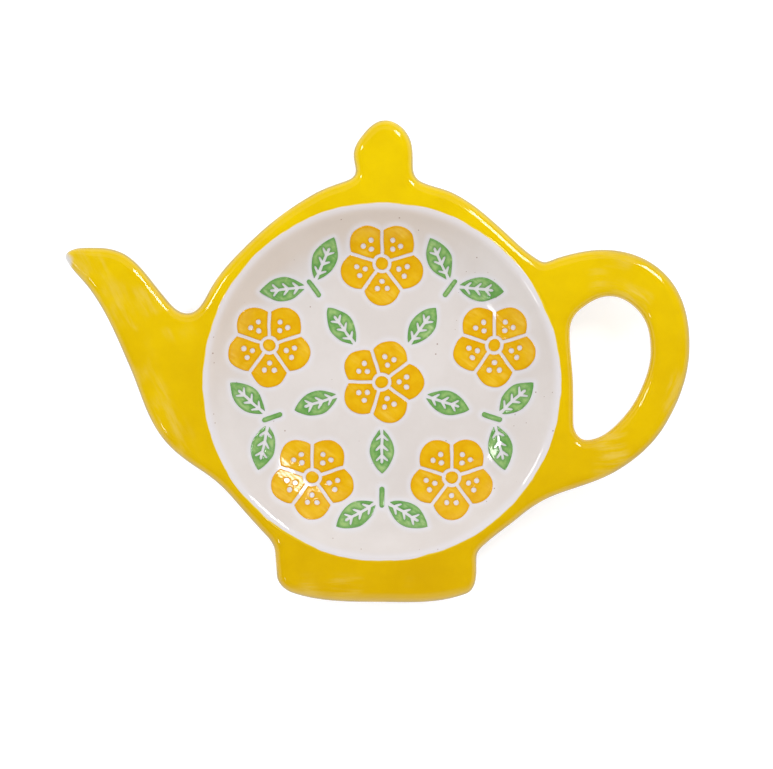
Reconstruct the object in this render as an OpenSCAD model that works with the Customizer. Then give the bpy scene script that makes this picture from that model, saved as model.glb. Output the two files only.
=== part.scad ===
// Tea bag rest in the outline of a teapot: one stoneware body with its coats of
// glaze and its painted enamel motifs, each fired layer as a solid of its own.
// Millimetres, +Z up. The origin is on the axis of the well, on the plane that
// the foot stands on; +X points to the handle and +Y to the lid knob.

/* [Body] */
// Radius of the round body of the teapot, about the axis of the well
body_r = 40; // [36:0.5:46]
// Height of the whole rest, from the table to the top of the rim
body_h = 14; // [11.5:0.5:20]
// Width of the rim where it is narrowest, from the body's edge to the well
rim_w = 2.9; // [2.5:0.1:6]
// Thickness of the flat plate that the teapot outline is cut in
plate_t = 6.5; // [5:0.5:8]
// Radius of the rounding along the upper edge of the plate
edge_r = 2; // [1:0.1:2.4]
// Radius of the rounding along the lower edge of the plate
under_edge_r = 1.4; // [0.8:0.1:2]

/* [Well] */
// Depth of the well below the top of the rim
well_depth = 7; // [5:0.5:9]
// Radius of the flat floor of the well
floor_r = 20; // [16:0.5:23]
// Radius of the rounded lip between the rim and the well
lip_r = 3; // [2:0.1:4]
// Thickness of the bowl's wall, glaze included
wall_t = 4; // [3:0.2:4.6]

/* [Foot] */
// Outer radius of the foot ring
foot_r = 25.5; // [24:0.5:28]
// Width of the foot ring
foot_w = 3.5; // [2.5:0.25:5]
// Bevel along both edges of the foot ring
foot_bevel = 0.5; // [0.3:0.1:0.8]

/* [Spout] */
// Length of the spout, from the body's edge to its tip
spout_l = 25.7; // [20:0.5:32]
// Height of the spout's lip above the middle of the well, seen from above
spout_rise = 27.8; // [24:0.2:32]

/* [Handle] */
// Length of the handle, from the body's edge to its outer side
handle_l = 23.8; // [19:0.2:29]
// Breadth of the handle, from its lower root to its upper side
handle_h = 48.5; // [42:0.5:56]
// How far the middle of the handle lies above the middle of the well
handle_y = 3.2; // [0:0.2:6]
// Width of the handle's grip, round the finger hole
grip_w = 8.4; // [6.5:0.2:10]

/* [Lid knob] */
// Width of the lid knob
knob_w = 12.4; // [10:0.2:15]
// Length of the lid knob beyond the body's edge
knob_l = 14.2; // [11:0.2:17]

/* [Teapot base] */
// Width of the teapot's base
base_w = 41.6; // [36:0.4:48]
// Length of the teapot's base beyond the body's edge
base_l = 5.7; // [4.6:0.1:7]

/* [Glaze and enamel] */
// Thickness of each coat of glaze
glaze_t = 0.4; // [0.2:0.05:0.6]
// Thickness of the painted enamel
enamel_t = 0.2; // [0.1:0.05:0.3]
// Radius of a blossom
blossom_r = 8.8; // [7:0.2:10]
// Bare width between the outer blossoms and the edge of the well
ring_margin = 3.7; // [2.4:0.1:5]
// Width of the bare lines between petals
petal_gap = 0.7; // [0.4:0.1:1]
// Radius of a blossom's eye
eye_r = 1.3; // [0.9:0.1:1.6]
// Radius of one bare dot in a petal
dot_r = 0.55; // [0.3:0.05:0.7]
// Length of a leaf
leaf_l = 9.6; // [8:0.2:11]
// Width of a leaf
leaf_w = 5; // [4:0.2:6]
// Width of the bare veins in a leaf
vein_w = 0.6; // [0.4:0.1:0.8]
// Distance from the edge of the well at which the pairs of leaves start from their stem
pair_margin = 11.9; // [10.6:0.1:13]
// Width of the stem between a pair of leaves
stem_w = 1; // [0.6:0.1:1.4]
// Bare gap between the tip of an inner leaf and that stem
stem_gap = 2.7; // [2:0.1:4]

/* [Hidden] */

// Colours, as the fired surfaces look
CLAY = [0.80, 0.74, 0.66];
YELLOW = [0.93, 0.79, 0.02];
WHITE = [0.89, 0.86, 0.84];
ORANGE = [0.93, 0.71, 0.05];
GREEN = [0.38, 0.68, 0.36];

// Faces round a turned surface, and points along one stretch of an outline
$fn = 96;
STRETCH_STEPS = 3;
HOLE_STEPS = 5;
// Points round the upper and the lower edge, and along the well's two arcs
EDGE_STEPS = 4;
UNDER_STEPS = 2;
BOWL_STEPS = 12;
LIP_STEPS = 4;
// How far cuts run past what they cut, and how far joined solids run into each other
OVERRUN = 0.4;

// Petals of a blossom, which is also how often the pattern repeats round the well
PETALS = 5;
PETAL_STEPS = 10;
// Where a petal's sides end and its round end starts, as a share of the blossom's radius
SHOULDER_SHARE = 0.78;
// Bare dots of a petal: the share of the blossom's radius, and the turn from the petal's middle
DOT_SHARES = [[0.42, 0], [0.6, -11], [0.6, 11]];
LEAF_STEPS = 7;
LEAF_FULLNESS_SHARE = 0.85;
// A leaf's midrib and where its side veins start, as shares of its length
MIDRIB_SHARE = 0.78;
VEIN_SHARES = [0.16, 0.38, 0.6];
// Reach of a side vein, as a share of the leaf's width, and its lean
VEIN_REACH_SHARE = 0.36;
VEIN_ANGLE = 48;
// How far each leaf of a pair turns away from their stem
PAIR_ANGLE = 60;
// How much wider than its grip the handle is above and below the hole, together, as a
// share of the grip's width
ROOT_SHARE = 0.23;
// The ring of blossoms starts at the top; the leaves stand in the gaps between them
function ring_angle(i) = 90 + 360 * i / PETALS;
function gap_angle(i) = ring_angle(i) + 180 / PETALS;

// Heights and radii that follow from the sizes above
well_r = body_r - rim_w;
ring_r = well_r - ring_margin - blossom_r;
pair_r = well_r - pair_margin;
// How far from a blossom's middle the leaves round it start, and the stem's two ends
leaf_r = blossom_r + petal_gap;
stem_start_r = leaf_r + leaf_l + stem_gap;
stem_end_r = pair_r + stem_w;
floor_z = body_h - well_depth;
plate_z = body_h - plate_t;
hole_w = handle_l - grip_w + glaze_t;
hole_h = handle_h - (2 + ROOT_SHARE) * grip_w;
foot_inner_r = foot_r - foot_w;
// How far in from the outline the plate's flat core starts and its rounded edges end
core_inset = max(edge_r, under_edge_r);
edge_inset = core_inset + OVERRUN;
// Radius of the well's wall, so that it meets the floor and the lip without a crease
bowl_r = (pow(well_r - floor_r, 2) + pow(well_depth, 2) - 2 * well_depth * lip_r)
    / (2 * well_depth);
bowl_z = floor_z + bowl_r;
// Angle at which the wall passes into the lip
lip_angle = atan2(well_depth - lip_r - bowl_r, well_r - floor_r);

// Outline of the teapot, counterclockwise from the top of the knob. Each row is
// x and y as shares of the sizes of its region, the heading of the edge there in
// degrees, and the share of the rounding that fits the edge at that point.
knob_left_shares = [[0.05, 1, 180, 1], [-0.33, 0.78, 232, 1], [-0.48, 0.49, 270, 1],
    [-0.44, 0.25, 272, 1]];
left_shares = [[-0.195, 1.037, 198, 1], [-0.365, 0.967, 210, 1], [-0.69, 0.72, 225, 1],
    [-0.895, 0.47, 242, 1]];
spout_shares = [[-0.01, 0.51, 180, 1], [-0.22, 0.66, 130, 1], [-0.475, 0.925, 142, 1],
    [-0.76, 1, 180, 1], [-0.957, 0.978, 205, 0.35], [-0.998, 0.92, 296, 0.35],
    [-0.795, 0.683, 306, 1], [-0.48, 0.115, 294, 1], [-0.25, -0.37, 303, 1]];
lower_left_shares = [[-0.94, -0.4575, 327, 1], [-0.785, -0.59, 311, 1],
    [-0.6025, -0.795, 314, 1], [-0.5525, -0.89, 272, 1]];
base_shares = [[-0.524, 0, 272, 1], [-0.442, -0.67, 342, 1], [-0.02, -1, 360, 1],
    [0.42, -0.7, 380, 1], [0.471, 0, 448, 1]];
lower_right_shares = [[0.49, -0.91, 450, 1], [0.545, -0.8325, 402, 1],
    [0.71, -0.7025, 400, 1]];
handle_shares = [[-0.15, -0.547, 380, 1], [0.38, -0.443, 392, 1], [0.8, -0.24, 420, 1],
    [1, 0.09, 450, 1], [0.82, 0.377, 490, 1], [0.25, 0.5, 540, 1], [-0.15, 0.464, 557, 1]];
right_shares = [[0.8225, 0.625, 510, 1], [0.6275, 0.785, 498, 1], [0.37, 0.9775, 514, 1],
    [0.2, 1.0375, 514, 1]];
knob_right_shares = [[0.52, 0.29, 452, 1], [0.45, 0.765, 478, 1]];
// Outline of the finger hole, the same way round, in shares of its own size
hole_shares = [[0.46, 0.487, 180, 1], [0.06, 0.388, 220, 1], [-0.064, 0.247, 268, 1],
    [-0.02, -0.138, 271, 1], [-0.02, -0.396, 270, 1], [0.14, -0.513, 360, 1],
    [0.635, -0.352, 408, 1], [0.895, -0.12, 428, 1], [0.99, 0.1, 450, 1],
    [0.85, 0.374, 490, 1]];
// How far a stretch's two inner handles reach, as a share of its length
REACH_SHARE = 0.35;

// Rows of shares set out from a corner in a region's own sizes
function placed(shares, corner, size) = [for (row = shares)
    [corner.x + row[0] * size.x, corner.y + row[1] * size.y, row[2], row[3]]];

body_size = [body_r, body_r];
teapot_rows = concat(
    placed(knob_left_shares, [0, body_r], [knob_w, knob_l]),
    placed(left_shares, [0, 0], body_size),
    placed(spout_shares, [-body_r, 0], [spout_l, spout_rise]),
    placed(lower_left_shares, [0, 0], body_size),
    placed(base_shares, [0, -body_r], [base_w, base_l]),
    placed(lower_right_shares, [0, 0], body_size),
    placed(handle_shares, [body_r, handle_y], [handle_l, handle_h]),
    placed(right_shares, [0, 0], body_size),
    placed(knob_right_shares, [0, body_r], [knob_w, knob_l]));
hole_rows = placed(hole_shares, [body_r, handle_y], [hole_w, hole_h]);

// A row moved to the left of its heading, which is into the plate for the teapot's outline
function inset_point(row, inset) =
    [row[0] - inset * row[3] * sin(row[2]), row[1] + inset * row[3] * cos(row[2])];
function bezier(a, b, c, d, t) =
    pow(1 - t, 3) * a + 3 * pow(1 - t, 2) * t * b + 3 * (1 - t) * t * t * c + pow(t, 3) * d;
// The smooth closed curve through the rows, with the whole curve drawn in by inset
function outline(rows, inset, steps) = [
    for (i = [0:len(rows) - 1])
        let (here = rows[i], next = rows[(i + 1) % len(rows)])
        let (a = inset_point(here, inset), d = inset_point(next, inset))
        let (reach = REACH_SHARE * norm(d - a))
        let (b = a + reach * [cos(here[2]), sin(here[2])])
        let (c = d - reach * [cos(next[2]), sin(next[2])])
        for (j = [0:steps - 1]) bezier(a, b, c, d, j / steps)
];
function teapot_outline(inset) = outline(teapot_rows, inset, STRETCH_STEPS);
function hole_outline(inset) = outline(hole_rows, -inset, HOLE_STEPS);

// Section of the plate's edge as [inset, z], from the top face round to the
// underside, on the surface that lies depth below the finished one.
function edge_section(depth) = concat(
    [for (i = [0:EDGE_STEPS]) let (turn = 90 * i / EDGE_STEPS)
        [edge_r - (edge_r - depth) * sin(turn), body_h - edge_r + (edge_r - depth) * cos(turn)]],
    [for (i = [0:UNDER_STEPS]) let (turn = 90 * i / UNDER_STEPS)
        [under_edge_r - (under_edge_r - depth) * cos(turn),
            plate_z + under_edge_r - (under_edge_r - depth) * sin(turn)]]);

// A closed tube whose rings follow a section round the teapot or round the hole
module edge_tube(section, around_hole) {
    rings = [for (s = section) let (ring = around_hole ? hole_outline(s[0]) : teapot_outline(s[0]))
        [for (p = ring) [p.x, p.y, s[1]]]];
    n = len(rings[0]);
    m = len(rings);
    faces = [for (i = [0:m - 1], j = [0:n - 1])
        let (a = i * n + j, b = i * n + (j + 1) % n)
        let (c = ((i + 1) % m) * n + (j + 1) % n, d = ((i + 1) % m) * n + j)
        each around_hole ? [[a, c, b], [a, d, c]] : [[a, b, c], [a, c, d]]];
    polyhedron(points = [for (ring = rings) each ring], faces = faces, convexity = 10);
}

// The flat middle of the plate, drawn in from both edges
module plate_sheet(inset, z, thickness) {
    difference() {
        translate([0, 0, z])
            linear_extrude(thickness)
                polygon(teapot_outline(inset));
        translate([0, 0, z - OVERRUN])
            linear_extrude(thickness + 2 * OVERRUN)
                polygon(hole_outline(inset));
    }
}

// Profile of the well from its axis to the top of the lip, depth below the finished surface
function well_profile(depth) = concat(
    [[0, floor_z - depth]],
    [for (i = [0:BOWL_STEPS]) let (turn = -90 + (90 + lip_angle) * i / BOWL_STEPS)
        [floor_r + (bowl_r + depth) * cos(turn), bowl_z + (bowl_r + depth) * sin(turn)]],
    [for (i = [1:LIP_STEPS]) let (turn = 180 + lip_angle - (90 + lip_angle) * i / LIP_STEPS)
        [well_r + (lip_r - depth) * cos(turn), body_h - lip_r + (lip_r - depth) * sin(turn)]]);

// Height of the bowl's underside at a radius, depth below the finished surface
function under_z(r, depth) = r <= floor_r ? floor_z - wall_t + depth
    : bowl_z - sqrt(pow(bowl_r + wall_t - depth, 2) - pow(r - floor_r, 2));
// Radius of the bowl's underside at a height
function under_r(z, depth) = floor_r + sqrt(pow(bowl_r + wall_t - depth, 2) - pow(bowl_z - z, 2));
function under_profile(r_from, r_to, depth) = [for (i = [0:BOWL_STEPS])
    let (r = r_from + (r_to - r_from) * i / BOWL_STEPS) [r, under_z(r, depth)]];

// The fired clay: plate, bowl and foot in one piece
module clay_body() {
    section = concat([[edge_inset, body_h - glaze_t]], edge_section(glaze_t),
        [[edge_inset, plate_z + glaze_t]]);
    color(CLAY)
        difference() {
            union() {
                plate_sheet(core_inset, plate_z + glaze_t, plate_t - 2 * glaze_t);
                edge_tube(section, false);
                edge_tube(section, true);
                bowl_clay();
                foot_ring();
            }
            rotate_extrude()
                polygon(concat([[0, body_h + OVERRUN]], well_profile(glaze_t),
                    [[well_r, body_h + OVERRUN]]));
        }
}

module bowl_clay() {
    top_z = plate_z + plate_t / 2;
    rotate_extrude()
        polygon(concat([[0, top_z], [0, under_z(0, glaze_t)]],
            under_profile(floor_r, under_r(plate_z + glaze_t, glaze_t), glaze_t),
            [[under_r(plate_z + glaze_t, glaze_t), top_z]]));
}

module foot_ring() {
    top_z = under_z(foot_inner_r, wall_t / 2);
    rotate_extrude()
        polygon([[foot_inner_r + foot_bevel, 0], [foot_r - foot_bevel, 0], [foot_r, foot_bevel],
            [foot_r, top_z], [foot_inner_r, top_z], [foot_inner_r, foot_bevel]]);
}

// Yellow glaze over the rim, its outer edges and the handle's hole
module rim_glaze() {
    inner = edge_section(glaze_t);
    section = concat([[edge_inset, body_h]], edge_section(0),
        [for (i = [len(inner) - 1:-1:0]) inner[i]], [[edge_inset, body_h - glaze_t]]);
    color(YELLOW)
        difference() {
            union() {
                plate_sheet(core_inset, body_h - glaze_t, glaze_t);
                edge_tube(section, false);
                edge_tube(section, true);
            }
            translate([0, 0, plate_z])
                cylinder(r = well_r, h = plate_t + OVERRUN);
        }
}

// Off-white glaze that lines the well up to the top of its lip
module well_glaze() {
    inner = well_profile(glaze_t);
    color(WHITE)
        rotate_extrude()
            polygon(concat(well_profile(0), [for (i = [len(inner) - 1:-1:0]) inner[i]]));
}

// Off-white glaze under the plate and round the bowl, down to the bare foot
module underside_glaze() {
    meet_r = under_r(plate_z, 0);
    clay_r = under_r(plate_z + glaze_t, glaze_t);
    clay_side = under_profile(foot_r, clay_r, glaze_t);
    color(WHITE) {
        difference() {
            plate_sheet(under_edge_r, plate_z, glaze_t);
            translate([0, 0, plate_z - OVERRUN])
                cylinder(r = meet_r, h = glaze_t + 2 * OVERRUN);
        }
        rotate_extrude()
            polygon(concat(under_profile(foot_r, meet_r, 0), [[meet_r, plate_z + glaze_t]],
                [for (i = [len(clay_side) - 1:-1:0]) clay_side[i]]));
    }
}

// Off-white glaze on the ceiling of the foot's recess
module foot_recess_glaze() {
    clay_side = under_profile(0, foot_inner_r, glaze_t);
    color(WHITE)
        rotate_extrude()
            polygon(concat(under_profile(0, foot_inner_r, 0),
                [for (i = [len(clay_side) - 1:-1:0]) clay_side[i]]));
}

// The thin skin over the well that all enamel lies in
module enamel_skin() {
    top = well_profile(-enamel_t);
    rotate_extrude()
        polygon(concat(well_profile(0), [for (i = [len(top) - 1:-1:0]) top[i]]));
}

// Upright prism on an outline, through the whole depth of the well
module upright(points) {
    translate([0, 0, floor_z - glaze_t])
        linear_extrude(well_depth)
            polygon(points);
}

// One petal: straight sides beside its neighbours' bare lines, and a round outer end
function petal_side(r) = 180 / PETALS - asin(petal_gap / 2 / r);
function petal_points() =
    let (inner_r = eye_r + petal_gap, shoulder = petal_side(blossom_r * SHOULDER_SHARE))
    concat(
        [for (i = [0:PETAL_STEPS]) let (turn = shoulder * (2 * i / PETAL_STEPS - 1))
            let (r = blossom_r * (SHOULDER_SHARE + (1 - SHOULDER_SHARE) * cos(90 * turn / shoulder)))
            r * [cos(turn), sin(turn)]],
        [for (i = [0:2]) let (turn = petal_side(inner_r) * (1 - i)) inner_r * [cos(turn), sin(turn)]]);

// Five petals round an eye, each petal with a cluster of bare dots
module blossom() {
    difference() {
        for (k = [0:PETALS - 1])
            rotate(360 * k / PETALS)
                upright(petal_points());
        for (k = [0:PETALS - 1], spot = DOT_SHARES)
            rotate(360 * k / PETALS + spot[1])
                translate([blossom_r * spot[0], 0, floor_z - glaze_t - OVERRUN])
                    cylinder(r = dot_r, h = well_depth + 2 * OVERRUN, $fn = 24);
    }
    translate([0, 0, floor_z - glaze_t])
        cylinder(r = eye_r, h = well_depth, $fn = 24);
}

module centre_blossom() {
    color(ORANGE)
        intersection() {
            enamel_skin();
            blossom();
        }
}

module ring_blossom(i) {
    color(ORANGE)
        intersection() {
            enamel_skin();
            rotate(ring_angle(i))
                translate([ring_r, 0, 0])
                    rotate(180 / PETALS)
                        blossom();
        }
}

// One leaf along +X from its base, with bare veins that open at the base
function leaf_points() = [for (side = [-1, 1], i = [0:LEAF_STEPS - 1])
    let (along = side < 0 ? i / LEAF_STEPS : 1 - i / LEAF_STEPS)
    [leaf_l * along, side * leaf_w / 2 * pow(sin(180 * along), LEAF_FULLNESS_SHARE)]];

module leaf() {
    difference() {
        upright(leaf_points());
        vein(-OVERRUN, leaf_l * MIDRIB_SHARE + OVERRUN, 0);
        for (start = VEIN_SHARES, side = [-1, 1])
            vein(leaf_l * start, leaf_w * VEIN_REACH_SHARE, side * VEIN_ANGLE);
    }
}

// A bare line that starts on the midrib and leans by an angle
module vein(start, length, angle) {
    translate([start, 0, floor_z - glaze_t - OVERRUN])
        rotate(angle)
            translate([0, -vein_w / 2, 0])
                cube([length, vein_w, well_depth + 2 * OVERRUN]);
}

module inner_leaf(i) {
    color(GREEN)
        intersection() {
            enamel_skin();
            rotate(gap_angle(i))
                translate([leaf_r, 0, 0])
                    leaf();
        }
}

// Two leaves that spread from the end of a short stem
module leaf_pair(i) {
    color(GREEN)
        intersection() {
            enamel_skin();
            rotate(gap_angle(i)) {
                for (side = [-1, 1])
                    translate([pair_r, side * (stem_w / 2 + petal_gap), 0])
                        rotate(side * PAIR_ANGLE)
                            leaf();
                translate([stem_start_r, -stem_w / 2, floor_z - glaze_t])
                    cube([stem_end_r - stem_start_r, stem_w, well_depth]);
            }
        }
}

clay_body();
rim_glaze();
well_glaze();
underside_glaze();
foot_recess_glaze();
centre_blossom();
for (i = [1:PETALS]) {
    ring_blossom(i);
    inner_leaf(i);
    leaf_pair(i);
}
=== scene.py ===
# %% [markdown]
# # A tea bag rest in the outline of a teapot
# This small stoneware dish is one fired piece of clay with coats of glaze on it and painted
# enamel in its well. The measured model comes first, as a fixed frame. Each of its layers is
# then dressed with a finer piece of its own, made with Blender's mesh operators, and each
# finish is a material built from nodes. All sizes below are in millimetres until MM turns
# them into metres.

from math import asin, atan2, cos, hypot, pi, radians, sin, sqrt

import bmesh
import bpy
from mathutils import Matrix, Vector, geometry, kdtree, noise


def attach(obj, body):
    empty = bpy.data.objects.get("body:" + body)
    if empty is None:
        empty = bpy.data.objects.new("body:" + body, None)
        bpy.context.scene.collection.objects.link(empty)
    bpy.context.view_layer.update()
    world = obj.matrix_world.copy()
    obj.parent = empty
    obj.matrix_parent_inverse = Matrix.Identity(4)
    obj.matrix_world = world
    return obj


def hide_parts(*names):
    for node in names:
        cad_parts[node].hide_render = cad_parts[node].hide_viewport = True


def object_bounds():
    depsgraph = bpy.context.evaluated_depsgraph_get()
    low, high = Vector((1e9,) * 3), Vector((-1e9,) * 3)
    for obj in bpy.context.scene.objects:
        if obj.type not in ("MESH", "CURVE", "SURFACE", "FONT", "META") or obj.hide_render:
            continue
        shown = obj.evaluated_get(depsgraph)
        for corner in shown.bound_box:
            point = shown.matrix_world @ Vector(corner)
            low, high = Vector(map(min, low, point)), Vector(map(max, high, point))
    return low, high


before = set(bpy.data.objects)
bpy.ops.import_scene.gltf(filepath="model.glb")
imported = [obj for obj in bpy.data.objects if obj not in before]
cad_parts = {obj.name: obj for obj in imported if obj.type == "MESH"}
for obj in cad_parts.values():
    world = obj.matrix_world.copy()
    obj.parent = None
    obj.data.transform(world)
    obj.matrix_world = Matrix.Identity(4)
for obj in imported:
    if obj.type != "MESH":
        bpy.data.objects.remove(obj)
scene = bpy.context.scene
MM = 0.001
cad_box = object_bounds()
BODY_TOP = cad_box[1].z
print("frame nodes:", len(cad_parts),
      "size in mm:", [round(s / MM, 1) for s in cad_box[1] - cad_box[0]])

# %% [markdown]
# ## The camera
# The photograph was taken from straight above, so round things stay round in it. A short
# lens would show the sides of the dish towards the picture's edges. A long lens from far
# away flattens the view as the photograph does, and its focal length follows from the
# width that the picture takes in at the height of the rim.

# %% Camera straight above the rim
SENSOR_WIDTH = 36
VIEW_WIDTH = 159.9
VIEW_CENTRE = (0.95, -0.58)
CAMERA_RISE = 1500

camera_data = bpy.data.cameras.new("overhead_camera")
camera_data.sensor_width = SENSOR_WIDTH
camera_data.lens = SENSOR_WIDTH * CAMERA_RISE / VIEW_WIDTH
camera = bpy.data.objects.new("overhead_camera", camera_data)
camera.location = (VIEW_CENTRE[0] * MM, VIEW_CENTRE[1] * MM, cad_box[1].z + CAMERA_RISE * MM)
scene.collection.objects.link(camera)
scene.camera = camera
print("lens:", round(camera_data.lens), "mm")

# %% [markdown]
# ## Helpers for nodes
# Materials are built in code, one node at a time. The first helper makes a node, sets its
# options, and either links or fills each input, which keeps the cells below short. The
# others name what is needed most often: sums, products, soft steps and blended colours.

# %% Node helpers
def add_node(tree, kind, inputs=None, **options):
    made = tree.nodes.new("ShaderNode" + kind)
    for name, value in options.items():
        setattr(made, name, value)
    for name, value in (inputs or {}).items():
        if isinstance(value, bpy.types.NodeSocket):
            tree.links.new(value, made.inputs[name])
        else:
            made.inputs[name].default_value = value
    return made


def calculate(tree, operation, a, b=0.0, clamp=False):
    return add_node(tree, "Math", {0: a, 1: b}, operation=operation, use_clamp=clamp).outputs[0]


def product(tree, *shares):
    """Shares multiplied, so that an effect shows only where all of them allow it."""
    result = shares[0]
    for share in shares[1:]:
        result = calculate(tree, "MULTIPLY", result, share)
    return result


def fade(tree, value, start, end):
    """0 below start, 1 above end, smooth between them. Start may be the higher one."""
    made = add_node(tree, "MapRange", {0: value, 1: start, 2: end}, interpolation_type="SMOOTHSTEP")
    return made.outputs[0]


def blend_colours(tree, share, a, b):
    return add_node(tree, "Mix", {0: share, 6: a, 7: b}, data_type="RGBA").outputs[2]


def colour(red, green, blue):
    """A colour read off as 0 to 255, in the linear values that a shader takes."""
    return [(v / 255 / 12.92 if v / 255 <= 0.04045 else ((v / 255 + 0.055) / 1.055) ** 2.4)
            for v in (red, green, blue)] + [1]


# %% [markdown]
# ## Floor and light
# The photograph has a pure white ground and more light from its upper side than from its
# lower one. A window of four panes at the upper right leaves thin white lines along the
# rounded edges and a barred patch in the well, and smaller lamps at the left leave short
# lines. A white ground could come from very strong lamps, but they would bleach the glaze.
# Here the lamps stay plain, and only rays that go to the camera, through glass or off a
# glossy surface see the floor lifted to white, so it still catches the shadow of the dish.

# %% White floor that keeps the shadow
FLOOR_SIZE = 6
FLOOR_LIFT = 0.5
FLOOR_WHITE = (0.86, 0.86, 0.86, 1)


def seen_directly(tree):
    path = add_node(tree, "LightPath").outputs
    seen = calculate(tree, "MAXIMUM", path["Is Camera Ray"], path["Is Glossy Ray"])
    return calculate(tree, "MAXIMUM", seen, path["Is Transmission Ray"])


floor_paint = bpy.data.materials.new("studio_floor")
floor_paint.use_nodes = True
tree = floor_paint.node_tree
tree.nodes.clear()
matte = add_node(tree, "BsdfDiffuse", {"Color": FLOOR_WHITE}).outputs[0]
lift = product(tree, seen_directly(tree), FLOOR_LIFT)
glow = add_node(tree, "Emission", {"Color": (1, 1, 1, 1), "Strength": lift}).outputs[0]
both = add_node(tree, "AddShader", {0: matte, 1: glow}).outputs[0]
add_node(tree, "OutputMaterial", {"Surface": both})

bm = bmesh.new()
bmesh.ops.create_grid(bm, x_segments=1, y_segments=1, size=FLOOR_SIZE / 2)
floor_mesh = bpy.data.meshes.new("studio_floor")
bm.to_mesh(floor_mesh)
bm.free()
floor_mesh.materials.append(floor_paint)
floor = bpy.data.objects.new("studio_floor", floor_mesh)
scene.collection.objects.link(floor)
print("floor:", FLOOR_SIZE, "m wide")

# %% World: soft light all round, white near the horizon and grey overhead
AMBIENT = 0.75
OVERHEAD = 0.04
WHITE_BELOW, GREY_ABOVE = 0.3, 0.6
world = bpy.data.worlds.new("studio")
scene.world = world
world.use_nodes = True
tree = world.node_tree
tree.nodes.clear()
direction = add_node(tree, "TexCoord").outputs["Generated"]
height = add_node(tree, "SeparateXYZ", {0: direction}).outputs["Z"]
backdrop = add_node(tree, "MapRange", {
    0: height, 1: WHITE_BELOW, 2: GREY_ABOVE, 3: 1.0, 4: OVERHEAD}).outputs[0]
strength = add_node(tree, "Mix", {0: seen_directly(tree), 2: AMBIENT, 3: backdrop}).outputs[0]
background = add_node(tree, "Background", {"Color": (1, 1, 1, 1), "Strength": strength}).outputs[0]
add_node(tree, "OutputWorld", {"Surface": background})
scene.view_settings.view_transform = "Standard"


# %% The window and the softboxes
def softbox(name, azimuth, tilt, distance, width, depth, power):
    """A rectangular lamp that looks at the dish: azimuth from +X, tilt from straight above."""
    lamp = bpy.data.lights.new(name, "AREA")
    lamp.shape = "RECTANGLE"
    lamp.size, lamp.size_y, lamp.energy = width, depth, power
    holder = bpy.data.objects.new(name, lamp)
    away = Vector((sin(radians(tilt)) * cos(radians(azimuth)),
                   sin(radians(tilt)) * sin(radians(azimuth)), cos(radians(tilt))))
    holder.location = away * distance
    holder.rotation_euler = away.to_track_quat("Z", "Y").to_euler()
    scene.collection.objects.link(holder)
    print(name, [round(c, 2) for c in holder.location])


WINDOW_PANES = 4
PANE_SPACING = 4.4
for pane in range(WINDOW_PANES):
    softbox(f"window_pane_{pane + 1}", azimuth=48,
            tilt=38 + PANE_SPACING * (pane - (WINDOW_PANES - 1) / 2),
            distance=0.75, width=0.11, depth=0.035, power=0.28)
softbox("softbox_upper_left", azimuth=150, tilt=38, distance=0.75, width=0.09, depth=0.1, power=0.5)
softbox("softbox_left", azimuth=212, tilt=38, distance=0.75, width=0.05, depth=0.07, power=0.12)
softbox("softbox_behind", azimuth=92, tilt=34, distance=0.8, width=0.9, depth=0.4, power=0.45)

# %% [markdown]
# ## Effects that several finishes share
# A fired surface is never one flat colour. Glaze lies thicker and thinner, iron in the clay
# burns through as tiny brown specks, a brush leaves streaks, and the surface ripples a
# little. Each effect is a node group with named inputs, so that a finish can use it with
# values of its own. The groups put out only colours and masks.


# %% Helper for node groups
INPUT_KINDS = {1: "Float", 3: "Vector", 4: "Color"}


def new_group(name, inputs, output, kind):
    """An empty group: its tree, its input sockets, and a function that sets its output."""
    tree = bpy.data.node_groups.new(name, "ShaderNodeTree")
    for label, value in inputs.items():
        values = len(value) if isinstance(value, (list, tuple)) else 1
        kind_of_input = "NodeSocket" + INPUT_KINDS[values]
        made = tree.interface.new_socket(label, in_out="INPUT", socket_type=kind_of_input)
        made.default_value = value
    tree.interface.new_socket(output, in_out="OUTPUT", socket_type="NodeSocket" + kind)
    sockets = tree.nodes.new("NodeGroupInput").outputs
    end = tree.nodes.new("NodeGroupOutput")
    return tree, sockets, lambda value: tree.links.new(value, end.inputs[0])


def use_group(tree, group, **values):
    """Places a group in a material. Spaces in its input names are written as underscores."""
    inputs = {name.replace("_", " "): value for name, value in values.items()}
    return add_node(tree, "Group", inputs, node_tree=group).outputs[0]


def object_place(tree):
    return add_node(tree, "TexCoord").outputs["Object"]


def flat_radius(tree, x, y):
    """How far a place is from the upright axis."""
    flat = add_node(tree, "CombineXYZ", {0: x, 1: y}).outputs[0]
    return add_node(tree, "VectorMath", {0: flat}, operation="LENGTH").outputs["Value"]


# %% Mottle: two colours that drift into each other
DRIFT = (0.3, 0.7)
mottle, given, put_out = new_group("glaze_mottle", {
    "Thin": colour(240, 210, 0), "Thick": colour(220, 180, 0), "Patch Size": 12 * MM}, "Colour", "Color")
frequency = calculate(mottle, "DIVIDE", 1.0, given["Patch Size"])
broad = add_node(mottle, "TexNoise", {"Vector": object_place(mottle), "Scale": frequency,
                                      "Detail": 5.0, "Roughness": 0.66}).outputs["Fac"]
put_out(blend_colours(mottle, fade(mottle, broad, *DRIFT), given["Thin"], given["Thick"]))

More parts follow.
